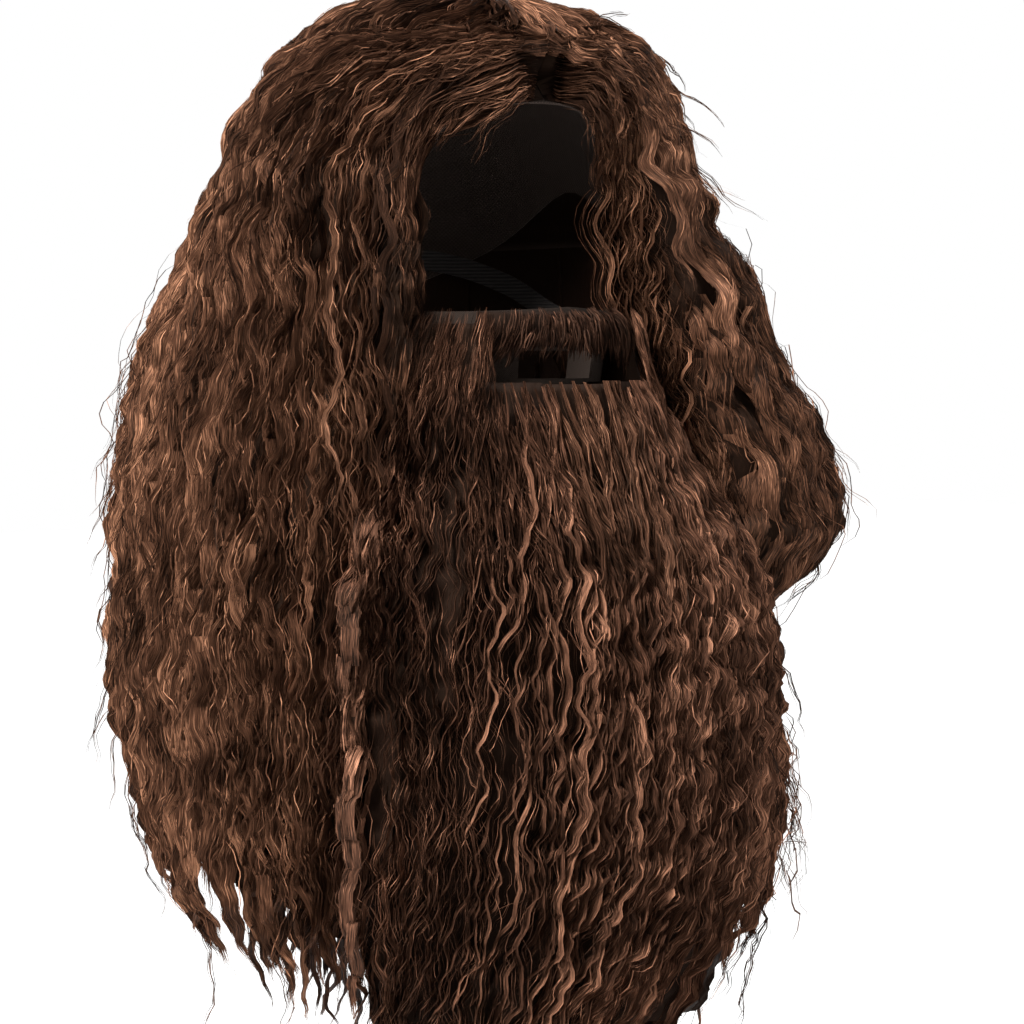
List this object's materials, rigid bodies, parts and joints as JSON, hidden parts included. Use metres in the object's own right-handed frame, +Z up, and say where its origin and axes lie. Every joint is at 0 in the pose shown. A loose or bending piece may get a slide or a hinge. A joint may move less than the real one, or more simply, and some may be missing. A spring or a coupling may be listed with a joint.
{
  "type": "long wavy wig with full beard",
  "caption": "Long crimped brown wig on a close cap, with a full chest-length beard on a backing held by an elastic strap, as worn.",
  "frame": {"origin": "inside of the cap at the crown, where it sits on the top of the head", "axes": "+Z up, the face opening looks along -Y, the wearer's left is +X"},
  "size_m": [0.4117, 0.3536, 0.6198],
  "materials": {
    "crimped_hair": "chestnut brown synthetic fibre, soft sheen",
    "crown_hair": "chestnut brown synthetic fibre, darker at the parting",
    "beard_hair": "chestnut brown synthetic fibre, crimped",
    "short_hair": "short dark brown fibre",
    "smooth_hair": "straight lighter brown fibre, soft sheen",
    "cap_net": "dark brown stretch net, matt",
    "backing_cloth": "dark brown woven cloth, matt",
    "elastic": "black ribbed elastic, matt"
  },
  "bodies": {
    "root": {"wig_cap": "cap_net", "crown_hair_right": "crown_hair", "crown_hair_left": "crown_hair", "front_locks_right": "crimped_hair", "side_locks_right": "crimped_hair", "back_locks_right": "crimped_hair", "back_locks_left": "crimped_hair", "side_locks_left": "crimped_hair", "front_locks_left": "crimped_hair", "beard_backing": "backing_cloth", "moustache": "short_hair", "lip_tuft": "smooth_hair", "beard_right": "beard_hair", "beard_centre": "beard_hair", "beard_left": "beard_hair", "beard_strap": "elastic"}
  },
  "joints": []
}
